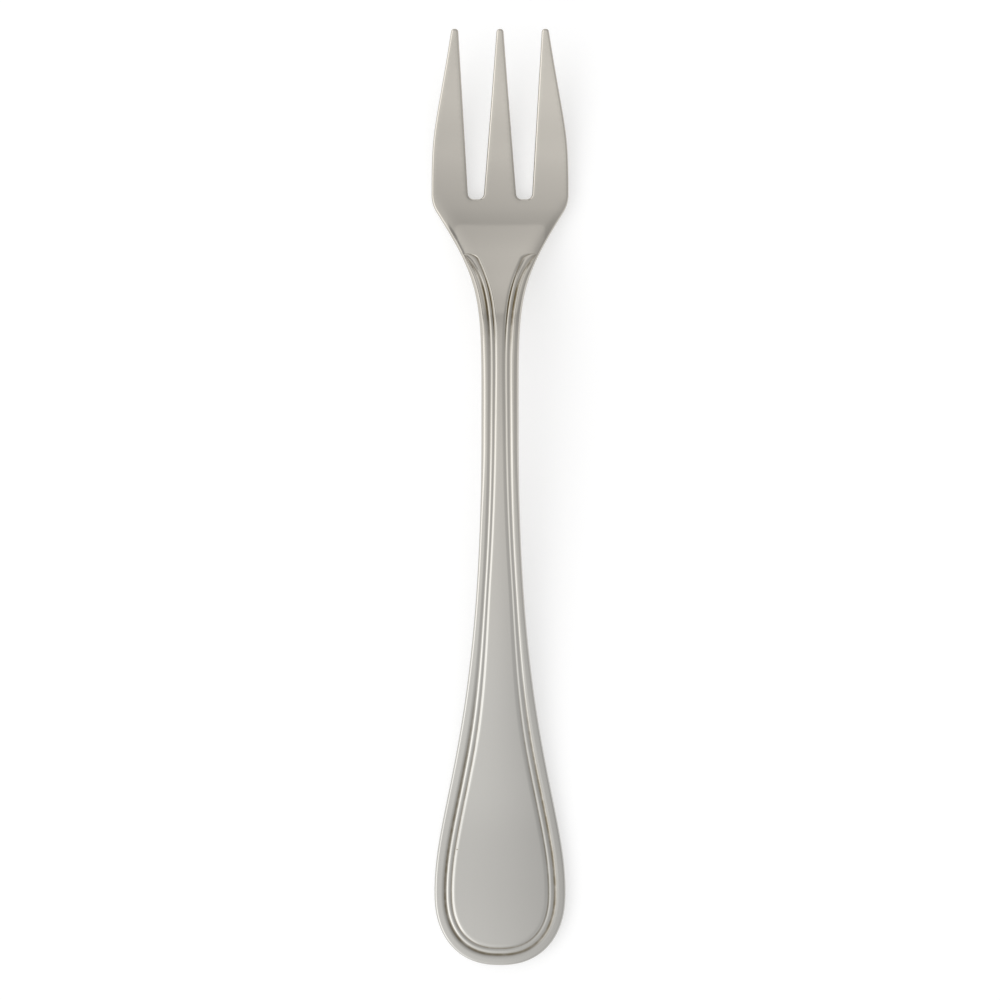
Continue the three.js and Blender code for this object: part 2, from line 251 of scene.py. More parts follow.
def line(start, end, spacing):
    """Points along a straight run, both ends included."""
    count = max(2, math.ceil(np.linalg.norm(end - start) / spacing) + 1)
    return start + np.linspace(0, 1, count)[:, None] * (end - start)


SPACING = 0.42 * MM
TAIL_STEPS = 64
CLOSING_STEPS = 18
CLOSING_POWER = 1.6
ARC_STEPS = 9
CURVE_STEPS = 4000


class Plan:
    """The right half of the outline, from the handle end up to the tip of the centre tine."""

    def __init__(self, plan, border):
        self.widest_y = TAIL_Y + plan.handle_end
        self.shoulder_y = TIP_Y - plan.head_length
        self.waist_y = self.shoulder_y - plan.neck_length
        self.slot_y = TIP_Y - plan.tine_length
        self.border_y = self.shoulder_y - border.stop
        self.half_handle = plan.handle_width / 2
        self.half_head = CAD_HIGH.x
        self.half_stem = plan.stem_width / 2
        runs = [self.tail(plan), self.side(plan, border), self.head(plan)]
        self.points = np.concatenate([runs[0], runs[1][1:], runs[2]])
        self.border_end = int(np.argmin(abs(self.points[: len(runs[0]) + len(runs[1]), 1] - self.border_y)))
        along = np.gradient(self.points, axis=0)
        along[0], along[-1] = (1, 0), (-1, 0)
        along /= np.linalg.norm(along, axis=1)[:, None]
        self.inward = np.stack((-along[:, 1], along[:, 0]), 1)

    def tail(self, plan):
        """Handle end, a little blunter than half an ellipse."""
        angles = np.linspace(0, math.pi / 2, TAIL_STEPS)
        power = 2 / plan.handle_fullness
        x = self.half_handle * np.sin(angles) ** power
        y = self.widest_y - plan.handle_end * np.cos(angles) ** power
        y[-1] = self.widest_y
        return np.stack((x, y), 1)

    def side(self, plan, border):
        """Flank, stem and neck, with closer points where the border turns out to the edge."""
        corner = np.array((self.half_head, self.shoulder_y))
        slope = np.array((math.sin(plan.shoulder_slope), math.cos(plan.shoulder_slope)))
        end = corner - slope * plan.shoulder_round * math.tan(plan.shoulder_slope / 2)
        flank = self.waist_y - self.widest_y
        neck = end[1] - self.waist_y
        waist = (self.half_stem, self.waist_y)
        curve = np.concatenate(
            [
                bezier(
                    [
                        (self.half_handle, self.widest_y),
                        (self.half_handle, self.widest_y + plan.handle_hold * flank),
                        (self.half_stem, self.waist_y - plan.stem_hold * flank),
                        waist,
                    ],
                    CURVE_STEPS,
                ),
                bezier(
                    [
                        waist,
                        (self.half_stem, self.waist_y + plan.neck_hold * neck),
                        end - slope * plan.shoulder_hold * neck / slope[1],
                        end,
                    ],
                    CURVE_STEPS,
                )[1:],
            ]
        )
        closing_y = self.border_y - border.grooves_closing
        turned = np.sin(np.linspace(0, math.pi / 2, CLOSING_STEPS)) ** (2 / CLOSING_POWER)
        y = np.concatenate(
            [
                np.linspace(self.widest_y, closing_y, math.ceil((closing_y - self.widest_y) / SPACING)),
                closing_y + border.grooves_closing * turned[1:],
                np.linspace(self.border_y, end[1], math.ceil((end[1] - self.border_y) / SPACING))[1:],
            ]
        )
        return np.stack((np.interp(y, curve[:, 1], curve[:, 0]), y), 1)

    def head(self, plan):
        """Shoulder corner, outer tine, slot and half of the centre tine."""
        half_tip = plan.tip_width / 2
        shoulder = np.array((self.half_head, self.shoulder_y))
        slope = np.array((math.sin(plan.shoulder_slope), math.cos(plan.shoulder_slope)))
        up = np.array((0, 1))
        outer_tip = np.array((plan.tip_spread / 2 + half_tip, TIP_Y))
        inner_tip = outer_tip - (plan.tip_width, 0)
        slot_inner = np.array((plan.centre_tine_width / 2, self.slot_y))
        slot_outer = slot_inner + (plan.slot_width, 0)
        centre_tip = np.array((half_tip, TIP_Y))
        middle = np.array((0, TIP_Y))
        lean = np.array((math.sin(plan.tine_lean), -math.cos(plan.tine_lean)))

        shoulder_arc = fillet(shoulder - slope, shoulder, shoulder + up, plan.shoulder_round, ARC_STEPS)
        tip_arc = fillet(outer_tip + lean, outer_tip, inner_tip, plan.tip_corner, ARC_STEPS)
        span = tip_arc[0, 1] - shoulder_arc[-1, 1]
        outer_edge = bezier(
            [
                shoulder_arc[-1],
                shoulder_arc[-1] + up * plan.head_hold * span,
                tip_arc[0] + lean * plan.tine_hold * span,
                tip_arc[0],
            ],
            math.ceil(span / SPACING),
        )
        inner_tip_arc = fillet(outer_tip, inner_tip, slot_outer, plan.tip_corner, ARC_STEPS)
        outer_corner = fillet(inner_tip, slot_outer, slot_inner, plan.slot_corner, ARC_STEPS)
        inner_corner = fillet(slot_outer, slot_inner, centre_tip, plan.slot_corner, ARC_STEPS)
        centre_arc = fillet(slot_inner, centre_tip, middle, plan.tip_corner, ARC_STEPS)
        return np.concatenate(
            [
                shoulder_arc[1:],
                outer_edge[1:],
                tip_arc[1:],
                inner_tip_arc,
                line(inner_tip_arc[-1], outer_corner[0], SPACING)[1:],
                outer_corner[1:],
                line(outer_corner[-1], inner_corner[0], SPACING)[1:],
                inner_corner[1:],
                line(inner_corner[-1], centre_arc[0], SPACING)[1:],
                centre_arc[1:],
                [middle],
            ]
        )


TABLE_STEP = 0.1 * MM
TABLE_PAD = 8 * MM
SOFTENING = 1.2 * MM
WIDTH_SOFTENING = 2 * SOFTENING
SOFTENING_REACH = 3
TOUCHING = 1e-9


def profile(y, stations):
    """A smooth curve through stations of (y, value, slope), level beyond its ends."""
    value = np.full_like(y, stations[0][1])
    for (y0, v0, s0), (y1, v1, s1) in zip(stations, stations[1:]):
        span = y1 - y0
        t = np.clip((y - y0) / span, 0, 1)
        u = 1 - t
        piece = v0 * u * u * (1 + 2 * t) + v1 * t * t * (3 - 2 * t) + span * t * u * (s0 * u - s1 * t)
        value = np.where(y >= y0, piece, value)
    return value


def soften(values, reach):
    """Evens out a table, so that its bends run into each other as on a polished form."""
    steps = round(SOFTENING_REACH * reach / TABLE_STEP)
    weights = np.exp(-0.5 * (np.arange(-steps, steps + 1) * TABLE_STEP / reach) ** 2)
    padded = np.pad(values, steps, mode="edge")
    return np.convolve(padded, weights / weights.sum(), mode="valid")


class Form:
    """Heights of the fork's two faces over its plan, from tables along its length."""

    def __init__(self, plan, side):
        rest_y = TAIL_Y + side.rest_length
        belly_y = TIP_Y - side.belly_to_tips
        arch_y = belly_y - side.arch_to_belly
        handle_end = plan.widest_y - TAIL_Y
        self.y = np.arange(TAIL_Y - TABLE_PAD, TIP_Y + TABLE_PAD, TABLE_STEP)
        underside = profile(
            self.y,
            [
                (rest_y, 0, 0),
                (arch_y, side.arch_height, 0),
                (belly_y, 0, 0),
                (TIP_Y, side.tip_height, math.tan(side.tip_pitch)),
            ],
        )
        thickness = profile(
            self.y,
            [
                (plan.widest_y, side.handle_thickness, 0),
                (arch_y, side.stem_thickness, 0),
                (plan.slot_y, side.head_thickness, 0),
                (TIP_Y, side.tip_thickness, 0),
            ],
        )
        crown = profile(
            self.y,
            [
                (plan.widest_y, side.handle_crown, 0),
                (plan.waist_y, side.stem_crown, 0),
                (plan.shoulder_y, -side.head_dish, 0),
            ],
        )
        back_crown = profile(
            self.y,
            [
                (rest_y, 0, 0),
                (plan.waist_y, side.stem_back_crown, 0),
                (plan.shoulder_y, side.head_dish, 0),
            ],
        )
        outline = plan.points[: np.argmax(plan.points[:, 0] >= plan.half_head - TOUCHING) + 1]
        half_width = np.interp(self.y, outline[:, 1], outline[:, 0])
        half_width = np.where(self.y < plan.widest_y, plan.half_handle, half_width)
        half_width = soften(half_width, WIDTH_SOFTENING)
        tail_fall = np.clip((plan.widest_y - self.y) / handle_end, 0, None) ** 2
        top = underside + thickness - side.tail_fall * tail_fall
        self.tables = {
            "underside": soften(underside, SOFTENING),
            "top": soften(top, SOFTENING),
            "top_bend": soften(crown / half_width**2, SOFTENING),
            "back_bend": soften(back_crown / half_width**2, SOFTENING),
        }
        edge_y = plan.points[:, 1]
        self.shoulders = plan.points[(edge_y > arch_y) & (edge_y < plan.slot_y)]
        self.falling = profile(
            self.y,
            [
                (plan.border_y - side.fall_width, 0, 0),
                (plan.border_y, 1, 0),
                (plan.border_y + side.fall_width, 1, 0),
                (plan.slot_y + side.fall_width, 0, 0),
            ],
        )
        self.falls = [(side.shoulder_fall, side.fall_width), (side.lip_fall, side.lip_width)]
        self.rounding = profile(
            self.y,
            [
                (plan.waist_y - side.edge_run, side.handle_edge, 0),
                (plan.waist_y, side.neck_edge, 0),
                (plan.border_y - side.shoulder_run, side.neck_edge, 0),
                (plan.border_y, side.head_edge, 0),
            ],
        )
        self.edge_share = side.edge_share

    def along(self, table, y):
        """Values of a table at places along the fork."""
        return np.interp(y, self.y, self.tables[table])

    def top(self, points):
        """Heights of the upper face, without the border."""
        x, y = points.T
        return self.along("top", y) - self.along("top_bend", y) * x**2 - self.edge_fall(points)

    def edge_fall(self, points):
        """How far the face of the shoulders falls at points near their edges."""
        fall = np.interp(points[:, 1], self.y, self.falling)
        near = fall > 0
        folded = np.stack((abs(points[near, 0]), points[near, 1]), 1)
        away = np.hypot(*(folded[:, None] - self.shoulders).T).min(0)
        fall[near] *= sum(depth * np.clip(1 - away / width, 0, 1) ** 2 for depth, width in self.falls)
        return fall

    def back(self, points):
        """Heights of the back."""
        x, y = points.T
        return self.along("underside", y) + self.along("back_bend", y) * x**2

    def edge_round(self, points):
        """Radius of the rounding at points on the outline."""
        thickness = self.top(points) - self.back(points)
        return np.minimum(np.interp(points[:, 1], self.y, self.rounding), self.edge_share * thickness)


KEEP_INSIDE = 1
MERGING = 1e-7
EDGE_CLEARANCE = 0.6


class Skin:
    """Gathers the fork's vertices and faces."""

    def __init__(self):
        self.points = []
        self.faces = []
        self.across = []
        self.strength = []
        self.grime = []
        self.count = 0

    def add(self, plan_points, heights, across=1.0, strength=0.0, grime=0.0):
        """Adds one row of vertices, and returns their numbers."""
        count = len(plan_points)
        self.points.append(np.column_stack((plan_points, heights)))
        self.across.append(np.broadcast_to(across, count))
        self.strength.append(np.broadcast_to(strength, count))
        self.grime.append(np.broadcast_to(grime, count))
        self.count += count
        return np.arange(self.count - count, self.count)

    def bridge(self, first, second, closed):
        """Joins two rows by a strip of quads. Where both rows share a vertex, the quad is a triangle."""
        ends = range(len(first) if closed else len(first) - 1)
        for i in ends:
            j = (i + 1) % len(first)
            quad = list(dict.fromkeys((first[i], first[j], second[j], second[i])))
            if len(quad) > 2:
                self.faces.append(quad)

    def fill(self, loop, height, upwards, spacing):
        """Fills a closed row with even triangles at the heights that a function gives."""
        rim = np.concatenate(self.points)[loop, :2]
        inner = grid_inside(rim, spacing)
        flat = np.concatenate([rim, inner]) / MM
        edges = [(i, (i + 1) % len(loop)) for i in range(len(loop))]
        made = delaunay_2d_cdt([tuple(point) for point in flat], edges, [], KEEP_INSIDE, MERGING)
        faces, sources = made[2:4]
        numbers = np.concatenate([loop, self.add(inner, height(inner))])
        for face in faces:
            corners = [numbers[sources[corner][0]] for corner in face]
            self.faces.append(corners if upwards else corners[::-1])

    def mesh(self, name):
        """The gathered skin as a smooth mesh that carries its attributes."""
        mesh = bpy.data.meshes.new(name)
        faces = [[int(number) for number in face] for face in self.faces]
        mesh.from_pydata(np.concatenate(self.points).tolist(), [], faces)
        for attribute, values in ((ACROSS, self.across), (STRENGTH, self.strength), (GRIME, self.grime)):
            layer = mesh.attributes.new(attribute, "FLOAT", "POINT")
            layer.data.foreach_set("value", np.concatenate(values).astype(np.float32))
        mesh.shade_smooth()
        mesh.validate()
        return mesh


def grid_inside(loop, spacing):
    """Points of an even triangular grid that lie inside a closed loop, clear of its edge."""
    row_step = spacing * math.sqrt(3) / 2
    low, high = loop.min(0), loop.max(0)
    rows = np.arange(low[1], high[1], row_step)
    columns = np.arange(0, high[0] + spacing, spacing)
    columns = np.concatenate([-columns[:0:-1], columns])
    grid = np.array([(x + spacing / 2 * (i % 2), y) for i, y in enumerate(rows) for x in columns])
    inside = np.zeros(len(grid), bool)
    nearest = np.full(len(grid), np.inf)
    for (x0, y0), (x1, y1) in zip(loop, np.roll(loop, -1, axis=0)):
        crosses = (y0 > grid[:, 1]) != (y1 > grid[:, 1])
        if crosses.any():
            at = x0 + (grid[:, 1] - y0) * (x1 - x0) / (y1 - y0)
            inside ^= crosses & (grid[:, 0] < at)
        nearest = np.minimum(nearest, np.hypot(grid[:, 0] - x0, grid[:, 1] - y0))
    return grid[inside & (nearest > EDGE_CLEARANCE * spacing)]


EDGE_STEPS = 9
RIM_STEPS = 6
GROOVE_STEPS = 28

# Places across the border: the edge's rounding, the rim's end, both grooves and the field
THREAD_START = 0.22
THREAD_TOP = 0.43
THREAD_END = 0.66
FIELD_PLACE = 1.1
FIELD_CORNER = 0.06 * MM
BORDER_LINES = (-1, 0, THREAD_START, THREAD_END, 1, FIELD_PLACE)
FILL_SPACING = 0.5 * MM


def whole(right):
    """A row of the right half, closed into the whole outline by its mirror image."""
    left = right[-2:0:-1] * (-1, 1)
    return np.concatenate([right, left])


def strip(right):
    """A row of the right half from the handle end, with its mirror image before it."""
    left = right[:0:-1] * (-1, 1)
    return np.concatenate([left, right])


def border_insets(plan, border, radius):
    """Distances of BORDER_LINES from the edge, the border's strength, and the grime of both grooves."""
    y = plan.points[: plan.border_end + 1, 1]
    radius = radius[: plan.border_end + 1]
    full = border.rim_width + border.grooves_width
    deep_y = plan.border_y - border.neck_run
    widths = [
        (TAIL_Y + border.handle_run, full, 0),
        (TAIL_Y + border.stem_run, border.stem_border, 0),
        (deep_y, border.neck_border, 0),
        (plan.border_y, border.stop_border, 0),
    ]
    scale = profile(y, widths) / full
    narrowing = profile(y, [(plan.border_y - border.rim_closing, 0, 0), (plan.border_y, 1, 0)])
    rim_flat = np.maximum(border.rim_width * scale - radius, border.rim_least)
    rim = radius + rim_flat + (border.rim_least - rim_flat) * narrowing
    field = full * scale
    groove = border.grooves_width * scale
    outer_groove = rim + THREAD_START * groove
    inner_groove = field - (1 - THREAD_END) * groove
    insets = np.array((radius, rim, outer_groove, inner_groove, field, field + FIELD_CORNER))
    turned = np.clip((y - plan.border_y) / border.grooves_closing + 1, 0, 1)
    opening = (1 - turned**CLOSING_POWER) ** (1 / CLOSING_POWER)
    depths = [
        (TAIL_Y + border.handle_run, 1, 0),
        (TAIL_Y + border.stem_run, border.stem_strike, 0),
        (deep_y - border.neck_rise, border.stem_strike, 0),
        (deep_y, border.neck_strike, 0),
        (plan.border_y, border.stop_strike, 0),
    ]
    strength = profile(y, depths) * opening

    def grime(at_neck):
        """Tarnish along a groove, which at the neck is this many times the outer groove's."""
        stains = [
            (TAIL_Y + border.stain_run - border.stain_fade, 1, 0),
            (TAIL_Y + border.stain_run, border.stem_grime, 0),
            (deep_y - border.neck_rise, border.stem_grime, 0),
            (deep_y, at_neck * border.neck_grime, 0),
            (deep_y + border.neck_run / 2, at_neck * border.stop_grime, 0),
        ]
        return profile(y, stains)

    return radius + (insets - radius) * opening, strength, grime(1), grime(border.inner_grime)


def stamp_skin(plan, form, border):
    """The fork's skin with a flat border, whose vertices carry their place across it."""
    skin = Skin()
    radius = form.edge_round(plan.points)
    whole_radius = np.concatenate([radius, radius[-2:0:-1]])

    def edge_row(angle, face, rise):
        """One row round the whole fork at an angle of the edge's rounding."""
        inset = plan.points + plan.inward * (radius * (1 - math.sin(angle)))[:, None]
        row = whole(inset)
        return skin.add(row, face(row) + rise * whole_radius * (1 - math.cos(angle)))

    angles = np.linspace(math.pi / 2, 0, EDGE_STEPS)
    top_rows = [edge_row(angle, form.top, -1) for angle in angles]
    back_rows = [edge_row(angle, form.back, 1) for angle in angles]
    for outer, inner in zip(top_rows, top_rows[1:]):
        skin.bridge(outer, inner, True)
    for outer, inner in zip(back_rows, back_rows[1:]):
        skin.bridge(inner, outer, True)
    skin.bridge(back_rows[0], top_rows[0], True)

    last = plan.border_end
    count = len(top_rows[-1])
    right_edge = np.arange(last + 1)
    numbers = np.concatenate([(count - right_edge[:0:-1]) % count, right_edge])
    insets, strength, outer_grime, inner_grime = border_insets(plan, border, radius)
    on_handle, inward = plan.points[: last + 1], plan.inward[: last + 1]
    strip_strength = np.concatenate([strength[:0:-1], strength])
    on_rim = np.linspace(-1, 0, RIM_STEPS + 1)[1:]
    in_grooves = np.linspace(0, 1, GROOVE_STEPS + 1)[1:]
    rows = [top_rows[-1][numbers]]
    for across in (*on_rim, *in_grooves, FIELD_PLACE):
        inset = np.array([np.interp(across, BORDER_LINES, lines) for lines in insets.T])
        row = strip(on_handle + inward * inset[:, None])
        grime = outer_grime if across < THREAD_TOP else inner_grime
        strip_grime = np.concatenate([grime[:0:-1], grime])
        made = skin.add(row[1:-1], form.top(row[1:-1]), across, strip_strength[1:-1], strip_grime[1:-1])
        rows.append(np.concatenate([rows[0][:1], made, rows[0][-1:]]))
    for outer, inner in zip(rows, rows[1:]):
        skin.bridge(outer, inner, False)

    head_edge = top_rows[-1][last + 1 : count - last]
    skin.fill(np.concatenate([rows[-1], head_edge]), form.top, True, FILL_SPACING)
    skin.fill(back_rows[-1], form.back, False, FILL_SPACING)
    return skin.mesh("polished_fork")


# Depth of the border across its rim (-1 to 0) and its grooves (0 to 1), as shares of the groove depth
BORDER_PROFILE = (
    (-1.0, 0.0),
    (-0.6, 0.03),
    (-0.25, 0.1),
    (0.0, 0.4),
    (THREAD_START, 1.0),
    (THREAD_TOP, 0.56),
    (THREAD_END, 0.96),
    (0.79, 0.38),
    (0.89, 0.1),
    (1.0, 0.0),
)

# Tarnish across the border: on the outer wall of the outer groove, and in the bottom of the inner one
TARNISH_PROFILE = (
    (-1.0, 0.0),
    (-0.12, 0.0),
    (0.04, 0.4),
    (0.15, 0.85),
    (0.24, 0.45),
    (0.32, 0.04),
    (0.55, 0.03),
    (0.65, 0.65),
    (0.75, 0.05),
    (1.0, 0.0),
)


def plug(tree, value, socket):
    """Gives a socket its value, which is another node's output or a plain value."""
    if isinstance(value, bpy.types.NodeSocket):
        tree.links.new(value, socket)
    else:
        socket.default_value = value


def combine(tree, operation, first, second):
    """The result of a math node."""
    node = tree.nodes.new("ShaderNodeMath")
    node.operation = operation
    plug(tree, first, node.inputs[0])
    plug(tree, second, node.inputs[1])
    return node.outputs["Value"]


def mix(tree, kind, factor, first, second):
    """The result of a mix node for numbers or colours."""
    node = tree.nodes.new("ShaderNodeMix")
    node.data_type = kind
    plug(tree, factor, node.inputs["Factor"])
    plug(tree, first, node.inputs["A"])
    plug(tree, second, node.inputs["B"])
    return node.outputs["Result"]


def follow(tree, value, places, handles, clipped):
    """A value that follows a curve through places of (input, output), with inputs from -1 to 1."""
    node = tree.nodes.new("ShaderNodeFloatCurve")
    node.mapping.use_clip = clipped
    if clipped:
        node.mapping.clip_min_x = -1
    points = node.mapping.curves[0].points
    points[0].location, points[1].location = places[0], places[-1]
    for place in places[1:-1]:
        points.new(*place)
    for point in points:
        point.handle_type = handles
    node.mapping.update()
    plug(tree, value, node.inputs["Value"])
    return node.outputs["Value"]


def border_tree():
    """Geometry nodes that strike the thread border into the skin, and mark its grooves for the tarnish."""
    tree = bpy.data.node_groups.new("Thread Border", "GeometryNodeTree")
    sockets = tree.interface
    sockets.new_socket("Skin", in_out="INPUT", socket_type="NodeSocketGeometry")
    sockets.new_socket("Groove Depth", in_out="INPUT", socket_type="NodeSocketFloat")
    sockets.new_socket("Steel", in_out="INPUT", socket_type="NodeSocketMaterial")
    sockets.new_socket("Skin", in_out="OUTPUT", socket_type="NodeSocketGeometry")
    nodes, links = tree.nodes, tree.links
    start = nodes.new("NodeGroupInput")
    end = nodes.new("NodeGroupOutput")

    def attribute(name):
        node = nodes.new("GeometryNodeInputNamedAttribute")
        node.data_type = "FLOAT"
        node.inputs["Name"].default_value = name
        return node.outputs["Attribute"]

    def section(places, along):
        """A value that changes across the border, and along it by another attribute."""
        across = follow(tree, attribute(ACROSS), places, "AUTO", True)
        return combine(tree, "MULTIPLY", across, attribute(along))

    depth = combine(tree, "MULTIPLY", section(BORDER_PROFILE, STRENGTH), start.outputs["Groove Depth"])
    drop = nodes.new("ShaderNodeCombineXYZ")
    links.new(combine(tree, "MULTIPLY", depth, -1.0), drop.inputs["Z"])
    move = nodes.new("GeometryNodeSetPosition")
    links.new(start.outputs["Skin"], move.inputs["Geometry"])
    links.new(drop.outputs["Vector"], move.inputs["Offset"])
    mark = nodes.new("GeometryNodeStoreNamedAttribute")
    mark.data_type = "FLOAT"
    mark.domain = "POINT"
    mark.inputs["Name"].default_value = TARNISH
    links.new(move.outputs["Geometry"], mark.inputs["Geometry"])
    links.new(section(TARNISH_PROFILE, GRIME), mark.inputs["Value"])
    realize = nodes.new("GeometryNodeRealizeInstances")
    links.new(mark.outputs["Geometry"], realize.inputs["Geometry"])
    paint = nodes.new("GeometryNodeSetMaterial")
    links.new(realize.outputs["Geometry"], paint.inputs["Geometry"])
    links.new(start.outputs["Steel"], paint.inputs["Material"])
    links.new(paint.outputs["Geometry"], end.inputs["Skin"])
    return tree


def strike_border(fork, border, steel):
    """Runs the border's nodes on the skin, and keeps the result as a plain mesh."""
    tree = border_tree()
    modifier = fork.modifiers.new("Thread border", "NODES")
    modifier.node_group = tree
    inputs = {item.name: item.identifier for item in tree.interface.items_tree if item.in_out == "INPUT"}
    modifier[inputs["Groove Depth"]] = border.groove_depth
    modifier[inputs["Steel"]] = steel
    graph = bpy.context.evaluated_depsgraph_get()
    struck = bpy.data.meshes.new_from_object(
        fork.evaluated_get(graph), preserve_all_data_layers=True, depsgraph=graph
    )
    fork.modifiers.remove(modifier)
    flat = fork.data
    fork.data = struck
    bpy.data.meshes.remove(flat)
    struck.name = fork.name


# Stretch of the fork along which the steel grows warmer
WARM_START = -30 * MM
WARM_END = 30 * MM

# Noises in the polish: scale, detail and roughness
BLOTCHES = (650, 3, 0.6)
HANDLING = (60, 4, 0.65)
WAVES = (130, 2, 0.5)
HAIRS = (1, 2, 0.5)

# Polishing lines in two directions: stretch, slant in degrees, and the noise where a line starts and is full
HAIRLINES = (
    ((5000, 45, 5000), 7, 0.6, 0.72),
    ((3500, 60, 3500), -16, 0.64, 0.74),
)
HAIRLINE_DULLING = 0.08
HAIRLINE_HEIGHT = -0.003 * MM
HAIRLINE_STRENGTH = 0.3
WAVE_HEIGHT = 0.02 * MM
WAVE_STRENGTH = 0.25

# Noise between which the tarnish grows from its least to full, and the polish from bright to worn
BLOTCH_RANGE = (0.3, 0.62)
LEAST_TARNISH = 0.65
HANDLING_RANGE = (0.35, 0.7)

# Specks: the dark middle as a part of the reach, the darkness, and the draws between which a cell gets one
SPECK_CORE = 0.4
SPECK_DARKNESS = 0.75
SPECK_DRAWS = (0.62, 0.66)


def polished_steel(finish):
    """Polished steel with fine polishing lines, soft handling marks and tarnish in its grooves."""
    material = bpy.data.materials.new("polished_steel")
    material.use_nodes = True
    tree = material.node_tree
    nodes, links = tree.nodes, tree.links
    shader = nodes["Principled BSDF"]
    shader.inputs["Metallic"].default_value = 1.0
    place = nodes.new("ShaderNodeTexCoord").outputs["Object"]

    def noise(vector, scale, detail, roughness):
        node = nodes.new("ShaderNodeTexNoise")
        node.inputs["Scale"].default_value = scale
        node.inputs["Detail"].default_value = detail
        node.inputs["Roughness"].default_value = roughness
        links.new(vector, node.inputs["Vector"])
        return node.outputs["Fac"]

    def spread(value, low, high, to_low, to_high):
        """A value turned from one range to another, and held at its ends."""
        node = nodes.new("ShaderNodeMapRange")
        node.inputs["From Min"].default_value = low
        node.inputs["From Max"].default_value = high
        node.inputs["To Min"].default_value = to_low
        node.inputs["To Max"].default_value = to_high
        links.new(value, node.inputs["Value"])
        return node.outputs["Result"]

    def hairs(stretch, slant_degrees, low, high):
        """Fine lines from polishing in one direction."""
        node = nodes.new("ShaderNodeMapping")
        node.inputs["Scale"].default_value = stretch
        node.inputs["Rotation"].default_value = (0, 0, math.radians(slant_degrees))
        links.new(place, node.inputs["Vector"])
        return spread(noise(node.outputs["Vector"], *HAIRS), low, high, 0.0, 1.0)

    def bump(height, distance, strength, normal=None):
        node = nodes.new("ShaderNodeBump")
        node.inputs["Distance"].default_value = distance
        node.inputs["Strength"].default_value = strength
        links.new(height, node.inputs["Height"])
        if normal:
            links.new(normal, node.inputs["Normal"])
        return node.outputs["Normal"]

    tarnish = nodes.new("ShaderNodeAttribute")
    tarnish.attribute_name = TARNISH
    blotches = spread(noise(place, *BLOTCHES), *BLOTCH_RANGE, LEAST_TARNISH, 1.0)
    uneven = combine(tree, "MULTIPLY", tarnish.outputs["Fac"], blotches)
    cells = nodes.new("ShaderNodeTexVoronoi")
    cells.inputs["Scale"].default_value = 1 / finish.speck_spacing
    links.new(place, cells.inputs["Vector"])
    draw = nodes.new("ShaderNodeSeparateColor")
    links.new(cells.outputs["Color"], draw.inputs["Color"])
    reach = finish.speck_size / finish.speck_spacing
    spots = spread(cells.outputs["Distance"], SPECK_CORE * reach, reach, SPECK_DARKNESS, 0.0)
    specks = combine(tree, "MULTIPLY", spots, spread(draw.outputs["Red"], *SPECK_DRAWS, 0.0, 1.0))
    dark = combine(tree, "MAXIMUM", uneven, specks)
    along = nodes.new("ShaderNodeSeparateXYZ")
    links.new(place, along.inputs["Vector"])
    warmth = spread(along.outputs["Y"], WARM_START, WARM_END, 0.0, 1.0)
    clean = mix(tree, "RGBA", warmth, (*finish.steel, 1), (*finish.warm_steel, 1))
    links.new(mix(tree, "RGBA", dark, clean, (*finish.tarnish, 1)), shader.inputs["Base Color"])

    hairlines = combine(tree, "MAXIMUM", *(hairs(*lines) for lines in HAIRLINES))
    worn = spread(noise(place, *HANDLING), *HANDLING_RANGE, finish.roughness, finish.worn_roughness)
    scratched = combine(tree, "MULTIPLY", hairlines, HAIRLINE_DULLING)
    links.new(combine(tree, "ADD", worn, scratched), shader.inputs["Roughness"])

    wavy = bump(noise(place, *WAVES), WAVE_HEIGHT, WAVE_STRENGTH)
    links.new(bump(hairlines, HAIRLINE_HEIGHT, HAIRLINE_STRENGTH, wavy), shader.inputs["Normal"])
    return material


def table_top(stage):
    """The pale table, white in the picture and in the metal, which takes the fork's shadow."""
    material = bpy.data.materials.new("pale_table")
    material.use_nodes = True
    tree = material.node_tree
    shader = tree.nodes["Principled BSDF"]
    shader.inputs["Base Color"].default_value = (*stage.table, 1)
    shader.inputs["Roughness"].default_value = 1.0
    shader.inputs["Specular IOR Level"].default_value = 0.0
    shader.inputs["Emission Color"].default_value = (1, 1, 1, 1)
    path = tree.nodes.new("ShaderNodeLightPath")
    seen = path.outputs["Is Camera Ray"]
    for ray in ("Is Glossy Ray", "Is Transmission Ray"):
        seen = combine(tree, "MAXIMUM", seen, path.outputs[ray])
    glow = combine(tree, "MULTIPLY", seen, stage.table_glow)
    tree.links.new(glow, shader.inputs["Emission Strength"])
    return material


TABLE_HALF = 4.0
TABLE_DROP = 0.05 * MM


def lay_table(stage):
    """A wide table top, just under the fork."""
    corners = [(-TABLE_HALF, -TABLE_HALF), (TABLE_HALF, -TABLE_HALF)]
    corners += [(TABLE_HALF, TABLE_HALF), (-TABLE_HALF, TABLE_HALF)]
    mesh = bpy.data.meshes.new("table")
    mesh.from_pydata([(x, y, -TABLE_DROP) for x, y in corners], [], [(0, 1, 2, 3)])
    mesh.materials.append(table_top(stage))
    table = bpy.data.objects.new("table", mesh)
    bpy.context.scene.collection.objects.link(table)


# Light of the studio from left to right, by how far a direction points there, as parts of the stage's lights
SIDEWAYS = (
    (-1, "light_left", 0.6),
    (-0.8, "light_left", 0.85),
    (-0.6, "light_left", 1),
    (-0.45, "light_left", 1),
    (-0.24, "light_above", 1.12),
    (-0.1, "light_above", 1.08),
    (0, "light_above", 1),
    (0.1, "light_above", 0.88),
    (0.2, "light_above", 0.79),
    (0.5, "light_right", 1),
    (1, "light_right", 1),
)

